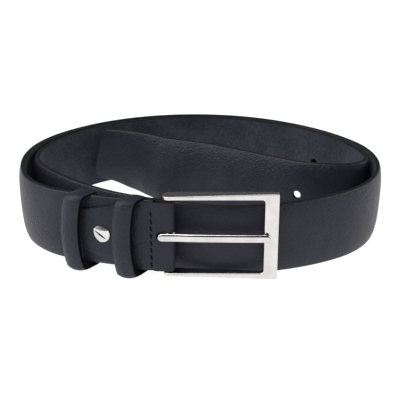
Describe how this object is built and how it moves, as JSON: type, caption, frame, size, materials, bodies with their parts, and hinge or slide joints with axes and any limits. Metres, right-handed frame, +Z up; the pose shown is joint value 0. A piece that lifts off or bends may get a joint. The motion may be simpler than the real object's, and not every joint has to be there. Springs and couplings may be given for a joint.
{
  "type": "leather dress belt",
  "caption": "Dress belt coiled on its edge: padded leather strap with lining, rectangular heel-bar buckle with prong, folded chape held by a screw, and two padded loops",
  "frame": {"origin": "middle of the coil's bounding box at floor level", "axes": "+Z up across the strap's width, -Y toward the buckle's flat face, X along the buckle's length"},
  "size_m": [0.1822, 0.1391, 0.044],
  "materials": {
    "grain_leather": "satin black grain leather, painted edges",
    "suede_lining": "slate suede lining",
    "leather_board": "soft filler strip, not seen",
    "black_thread": "waxed black thread",
    "nickel": "polished nickel plate, satin on the free bar",
    "steel_wire": "plain staple wire"
  },
  "bodies": {
    "strap": {"strap_face_leather": "grain_leather", "strap_filler": "leather_board", "strap_lining": "suede_lining", "chape": "grain_leather", "stitches_front": "black_thread", "stitches_back": "black_thread", "screw_post": "nickel", "screw": "nickel", "fixed_loop_pad": "leather_board", "fixed_loop_cover": "grain_leather", "fixed_loop_staple": "steel_wire"},
    "buckle": {"buckle_frame": "nickel", "heel_bar": "nickel"},
    "prong": {"prong": "nickel"},
    "free_loop": {"free_loop_pad": "leather_board", "free_loop_cover": "grain_leather", "free_loop_staple": "steel_wire"}
  },
  "joints": [
    {"name": "buckle_swing", "type": "hinge", "parent": "strap", "child": "buckle", "pos_m": [-0.0146, -0.0637, 0.022], "axis": [0, 0, -1], "range_deg": [0, 45]},
    {"name": "prong_swing", "type": "hinge", "parent": "buckle", "child": "prong", "pos_m": [-0.0146, -0.0637, 0.022], "axis": [0, 0, -1], "range_deg": [0, 55]},
    {"name": "free_loop_slide", "type": "slide", "parent": "strap", "child": "free_loop", "axis": [-0.9146, 0.4044, 0], "range_m": [-0.004, 0.003]}
  ]
}
